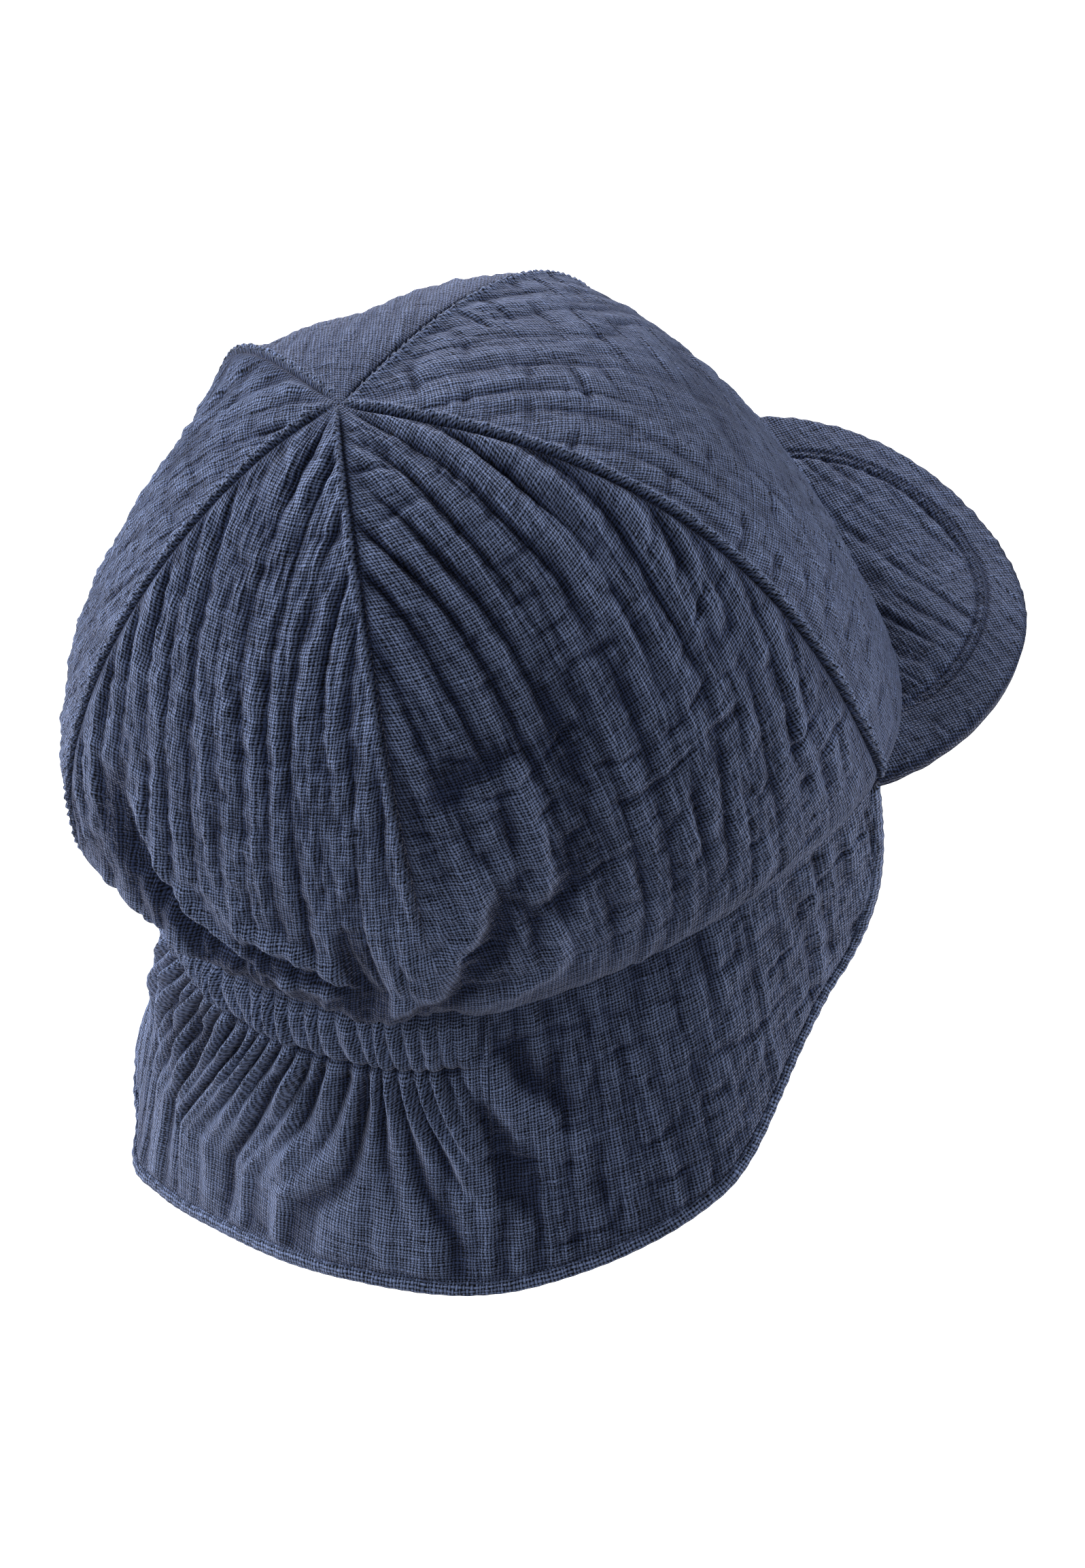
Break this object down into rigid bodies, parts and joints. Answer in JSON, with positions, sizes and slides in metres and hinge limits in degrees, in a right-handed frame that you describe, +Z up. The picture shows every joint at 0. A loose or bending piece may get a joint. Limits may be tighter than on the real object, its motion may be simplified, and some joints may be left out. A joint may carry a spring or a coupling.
{
  "type": "legionnaire cap",
  "caption": "Small child's soft muslin sun cap with a short peak, an elastic tunnel at the nape and a long flap over the neck and ears.",
  "frame": {"origin": "where the cap sits on the head: the middle of the crown's rim", "axes": "+Z up through the crown, -Y the way the wearer faces and the peak points, +X the wearer's left"},
  "size_m": [0.1952, 0.2105, 0.2011],
  "materials": {
    "muslin": "soft crinkled double muslin, plain slate navy"
  },
  "bodies": {
    "root": {"right_side_gore": "muslin", "right_back_gore": "muslin", "left_back_gore": "muslin", "left_side_gore": "muslin", "front_gore": "muslin", "elastic_tunnel": "muslin", "neck_flap": "muslin", "flap_hem": "muslin", "peak_field": "muslin", "peak_border": "muslin"}
  },
  "joints": []
}
